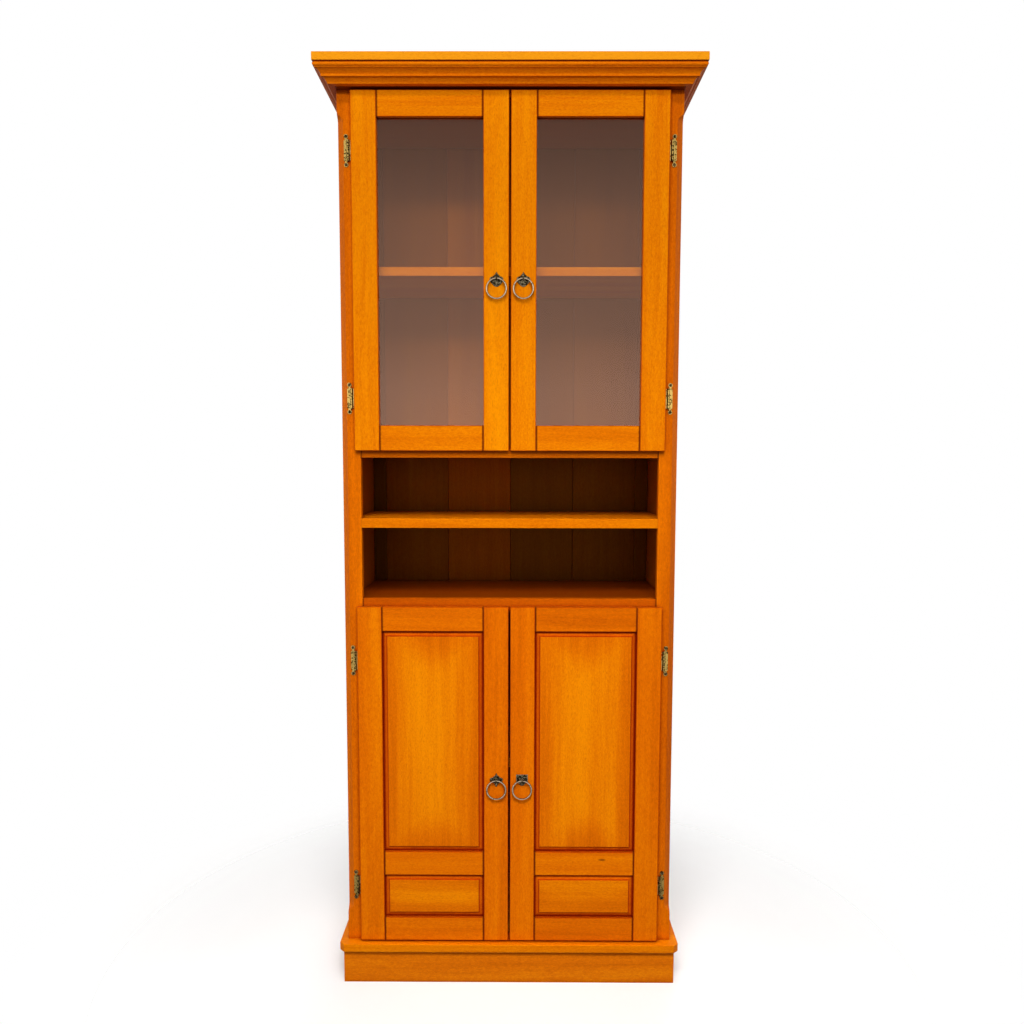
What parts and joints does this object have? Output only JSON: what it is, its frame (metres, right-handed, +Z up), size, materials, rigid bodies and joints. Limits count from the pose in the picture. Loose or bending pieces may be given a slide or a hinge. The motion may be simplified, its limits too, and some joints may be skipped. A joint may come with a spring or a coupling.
{
  "type": "pantry cabinet",
  "caption": "Tall timber pantry cabinet: glazed doors above, an open niche with a shelf, panelled doors below, moulded crown and plinth, ring pulls.",
  "frame": {"origin": "centre of the footprint box, on the floor", "axes": "+Z up, the front with the doors faces -Y, +X to the viewer's right"},
  "size_m": [0.807, 0.3754, 2],
  "materials": {
    "timber": "honey stained pine under satin lacquer",
    "back_timber": "stained boards in shade, satin lacquer",
    "glass": "clear float glass",
    "antique_brass": "worn antique brass",
    "dark_bronze": "darkened antique brass with bright edges",
    "screw_steel": "browned round heads",
    "steel": "plain shelf pegs",
    "catch": "brown moulded catch body"
  },
  "bodies": {
    "carcass": {"side_left": "timber", "side_right": "timber", "shelf_pegs": "steel", "frame_stile_left": "timber", "frame_stile_right": "timber", "frame_rail_top": "timber", "frame_rail_middle": "timber", "frame_rail_niche": "timber", "frame_rail_bottom": "timber", "upper_ceiling": "timber", "niche_ceiling": "timber", "niche_floor": "timber", "cupboard_floor": "timber", "niche_shelf": "timber", "upper_shelf": "timber", "lower_shelf": "timber", "back_boards": "back_timber", "crown_slab": "timber", "crown_packer": "timber", "crown_front": "timber", "crown_returns": "timber", "base_slab": "timber", "plinth_front": "timber", "plinth_boards": "timber", "frame_hinge_leaves": "antique_brass", "frame_hinge_screws": "screw_steel", "hinge_pins": "antique_brass", "magnet_catches": "catch"},
    "upper_left_door": {"upper_left_outer_stile": "timber", "upper_left_meeting_stile": "timber", "upper_left_rails": "timber", "upper_left_glass": "glass", "upper_left_beads": "timber", "upper_left_fittings": "antique_brass", "upper_left_pull_plate": "dark_bronze"},
    "upper_left_ring": {"upper_left_ring": "dark_bronze"},
    "upper_right_door": {"upper_right_outer_stile": "timber", "upper_right_meeting_stile": "timber", "upper_right_rails": "timber", "upper_right_glass": "glass", "upper_right_beads": "timber", "upper_right_fittings": "antique_brass", "upper_right_pull_plate": "dark_bronze"},
    "upper_right_ring": {"upper_right_ring": "dark_bronze"},
    "lower_left_door": {"lower_left_outer_stile": "timber", "lower_left_meeting_stile": "timber", "lower_left_rails": "timber", "lower_left_lower_panel": "timber", "lower_left_upper_panel": "timber", "lower_left_fittings": "antique_brass", "lower_left_pull_plate": "dark_bronze"},
    "lower_left_ring": {"lower_left_ring": "dark_bronze"},
    "lower_right_door": {"lower_right_outer_stile": "timber", "lower_right_meeting_stile": "timber", "lower_right_rails": "timber", "lower_right_lower_panel": "timber", "lower_right_upper_panel": "timber", "lower_right_fittings": "antique_brass", "lower_right_pull_plate": "dark_bronze"},
    "lower_right_ring": {"lower_right_ring": "dark_bronze"}
  },
  "joints": [
    {"name": "upper_left_door_hinge", "type": "hinge", "parent": "carcass", "child": "upper_left_door", "pos_m": [-0.3406, -0.13345, 1.56625], "axis": [0, 0, -1], "range_deg": [0, 110]},
    {"name": "upper_left_ring_swing", "type": "hinge", "parent": "upper_left_door", "child": "upper_left_ring", "pos_m": [-0.0285, -0.15075, 1.558], "axis": [-1, 0, 0], "range_deg": [-5, 170]},
    {"name": "upper_right_door_hinge", "type": "hinge", "parent": "carcass", "child": "upper_right_door", "pos_m": [0.3406, -0.13345, 1.56625], "axis": [0, 0, 1], "range_deg": [0, 110]},
    {"name": "upper_right_ring_swing", "type": "hinge", "parent": "upper_right_door", "child": "upper_right_ring", "pos_m": [0.0285, -0.15075, 1.558], "axis": [-1, 0, 0], "range_deg": [-5, 170]},
    {"name": "lower_left_door_hinge", "type": "hinge", "parent": "carcass", "child": "lower_left_door", "pos_m": [-0.3406, -0.13345, 0.47825], "axis": [0, 0, -1], "range_deg": [0, 110]},
    {"name": "lower_left_ring_swing", "type": "hinge", "parent": "lower_left_door", "child": "lower_left_ring", "pos_m": [-0.0285, -0.15075, 0.4695], "axis": [-1, 0, 0], "range_deg": [-5, 170]},
    {"name": "lower_right_door_hinge", "type": "hinge", "parent": "carcass", "child": "lower_right_door", "pos_m": [0.3406, -0.13345, 0.47825], "axis": [0, 0, 1], "range_deg": [0, 110]},
    {"name": "lower_right_ring_swing", "type": "hinge", "parent": "lower_right_door", "child": "lower_right_ring", "pos_m": [0.0285, -0.15075, 0.4695], "axis": [-1, 0, 0], "range_deg": [-5, 170]}
  ]
}
